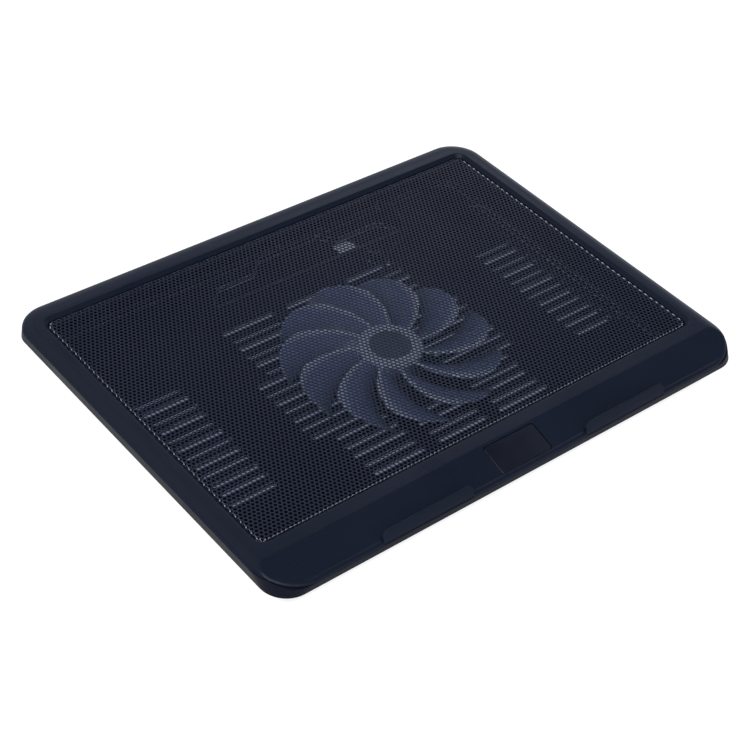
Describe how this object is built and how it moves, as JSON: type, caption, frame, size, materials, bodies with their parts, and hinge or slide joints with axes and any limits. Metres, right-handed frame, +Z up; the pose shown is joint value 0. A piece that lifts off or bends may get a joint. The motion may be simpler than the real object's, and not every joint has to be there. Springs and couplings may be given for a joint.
{
  "type": "laptop cooling pad",
  "caption": "Flat laptop cooling pad: a moulded frame with a sloping front ledge round a perforated panel, over a vented base pan that holds one large fan.",
  "frame": {"origin": "centre of the footprint, on the surface the pad stands on", "axes": "+X to the user's right, +Y to the rear, +Z up out of the deck"},
  "size_m": [0.35, 0.265, 0.0283],
  "materials": {
    "deck_plastic": "dark navy ABS, fine satin texture",
    "badge_plastic": "smooth dark inset",
    "panel_metal": "dark powder-coated perforated steel",
    "base_plastic": "dark moulded ABS, fine satin texture",
    "foot_rubber": "matt black rubber",
    "fan_plastic": "bluish grey moulded fan plastic",
    "hub_label": "blank dark disc",
    "magnet_rubber": "bonded ferrite",
    "steel": "plated steel",
    "shaft_steel": "ground steel",
    "sintered_bronze": "oil-filled bronze",
    "core_steel": "stacked laminations",
    "copper": "enamelled copper wire",
    "insulator_plastic": "natural nylon",
    "board": "green circuit board",
    "chip_epoxy": "black epoxy",
    "wear_plastic": "white low-friction plastic",
    "lead_sheath": "black PVC sheath"
  },
  "bodies": {
    "pad": {"top_frame": "deck_plastic", "mesh_panel": "panel_metal", "badge_plate": "badge_plastic", "base_cover": "base_plastic", "foot_strip_left": "foot_rubber", "foot_strip_right": "foot_rubber", "foot_strip_rear": "foot_rubber", "fan_lead": "lead_sheath", "cable_gland": "foot_rubber", "motor_mount": "base_plastic", "bearing_sleeve": "sintered_bronze", "oil_ring": "wear_plastic", "thrust_disc": "wear_plastic", "stator_core": "core_steel", "stator_insulator_upper": "insulator_plastic", "stator_insulator_lower": "insulator_plastic", "stator_coils": "copper", "motor_board": "board", "driver_chip": "chip_epoxy", "case_screws": "steel", "motor_screws": "steel"},
    "rotor": {"fan_rotor": "fan_plastic", "rotor_yoke": "steel", "rotor_magnet": "magnet_rubber", "hub_label": "hub_label", "rotor_shaft": "shaft_steel", "shaft_clip": "steel"}
  },
  "joints": [
    {"name": "fan_spin", "type": "hinge", "parent": "pad", "child": "rotor", "pos_m": [0, -0.0082, 0.012], "axis": [0, 0, 1], "continuous": true}
  ]
}
